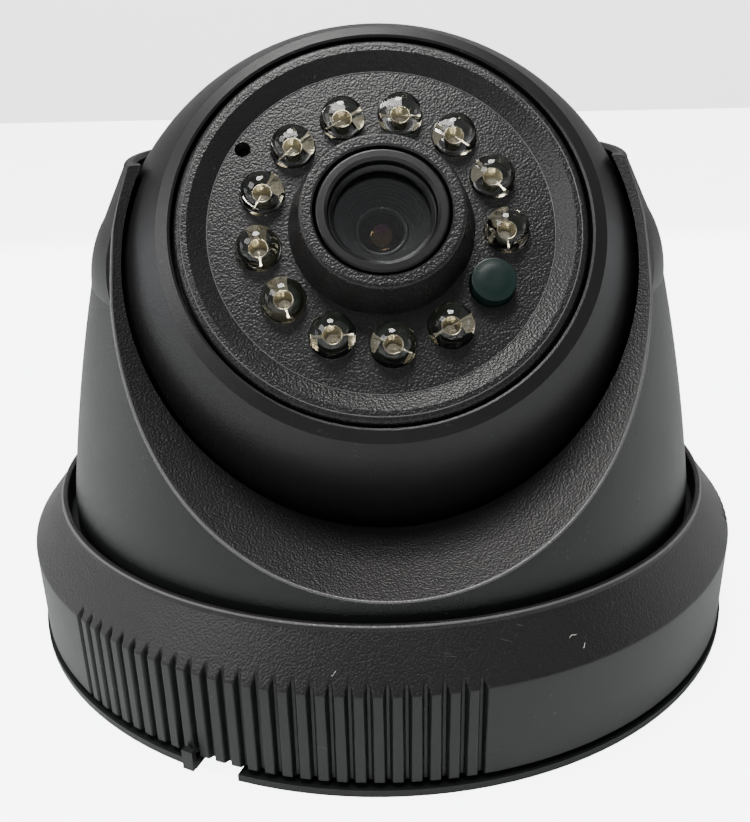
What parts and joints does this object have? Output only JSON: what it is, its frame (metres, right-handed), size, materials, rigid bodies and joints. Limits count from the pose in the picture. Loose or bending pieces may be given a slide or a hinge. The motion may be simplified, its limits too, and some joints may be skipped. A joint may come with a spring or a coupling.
{
  "type": "ceiling dome camera",
  "caption": "Small ceiling camera: a ball with lens and lamp ring sits in a turret with a U-shaped front opening, on a round base held by a ribbed lock ring.",
  "frame": {"origin": "centre of the base plate's flat ceiling face", "axes": "+Z away from the ceiling along the pan axis, the lens looks towards -Y and up at rest, +X to the viewer's right"},
  "size_m": [0.0944, 0.0944, 0.0732],
  "materials": {
    "base_plastic": "moulded satin black ABS",
    "ring_plastic": "moulded satin black ABS, fine texture on the cone",
    "turret_plastic": "moulded satin black ABS",
    "ball_plastic": "smooth satin black ABS",
    "face_plastic": "coarse spark-eroded texture",
    "inner_plastic": "plain moulded black",
    "rubber": "matt",
    "screw_steel": "zinc plated",
    "clear_epoxy": "clear water-white epoxy",
    "lead_frame": "silver plated",
    "sensor_tint": "dark tinted epoxy",
    "chip_plastic": "moulded epoxy",
    "can_metal": "drawn can",
    "board_laminate": "green solder mask",
    "brass": "turned",
    "sensor_glass": "glass-topped package",
    "socket_nylon": "moulded nylon",
    "cable_plastic": "flat flexible cable",
    "filter_glass": "coated glass",
    "lens_metal": "black anodised",
    "lens_glass": "coated glass",
    "grey_ring": "satin grey",
    "dark_glass": "coated glass"
  },
  "bodies": {
    "base": {"base_plate": "base_plastic"},
    "ring": {"lock_ring": "ring_plastic"},
    "turret": {"turret_shell": "turret_plastic", "ball_seat": "inner_plastic", "seat_gasket": "rubber", "seat_screws": "screw_steel"},
    "ball_carrier": {"ball_rear_shell": "ball_plastic", "cable_grommet": "rubber"},
    "ball": {"ball_front_shell": "ball_plastic", "roll_ring": "inner_plastic", "roll_ring_screws": "screw_steel", "face_plate": "face_plastic", "ir_leds": "clear_epoxy", "led_lead_frames": "lead_frame", "light_sensor_cap": "sensor_tint", "light_sensor": "chip_plastic", "microphone": "can_metal", "led_board": "board_laminate", "led_board_screws": "screw_steel", "led_board_parts": "chip_plastic", "main_board": "board_laminate", "standoffs": "brass", "main_board_screws": "screw_steel", "image_sensor": "sensor_glass", "processor_chip": "chip_plastic", "board_sockets": "socket_nylon", "board_cable": "cable_plastic", "lens_holder": "inner_plastic", "lens_holder_screws": "screw_steel", "ir_filter": "filter_glass"},
    "focus_slide": {"lens_lock_nut": "lens_metal"},
    "lens": {"lens_barrel": "lens_metal", "lens_front_glass": "lens_glass", "lens_baffle": "lens_metal", "lens_inner_ring": "grey_ring", "lens_inner_glass": "dark_glass", "lens_rear_element": "lens_glass", "lens_spacer": "lens_metal"}
  },
  "joints": [
    {"name": "ring_unlock", "type": "hinge", "parent": "base", "child": "ring", "pos_m": [0, 0, 0], "axis": [0, 0, 1], "range_deg": [-35, 0]},
    {"name": "pan", "type": "hinge", "parent": "base", "child": "turret", "pos_m": [0, 0, 0], "axis": [0, 0, 1], "range_deg": [-177.5, 177.5]},
    {"name": "tilt", "type": "hinge", "parent": "turret", "child": "ball_carrier", "pos_m": [0, 0, 0.039], "axis": [-1, 0, 0], "range_deg": [-35.5, 54.5]},
    {"name": "roll", "type": "hinge", "parent": "ball_carrier", "child": "ball", "pos_m": [0, 0, 0.039], "axis": [0, -0.8141, 0.5807], "range_deg": [-175, 175]},
    {"name": "lens_focus_travel", "type": "slide", "parent": "ball", "child": "focus_slide", "axis": [0, -0.8141, 0.5807], "range_m": [-0.00025, 0.00025]},
    {"name": "lens_focus_turn", "type": "hinge", "parent": "focus_slide", "child": "lens", "pos_m": [0, 0, 0.039], "axis": [0, -0.8141, 0.5807], "range_deg": [-181, 181]}
  ],
  "couplings": [
    {"joint": "lens_focus_turn", "follows": "lens_focus_travel", "rad_per_m": 12566}
  ]
}
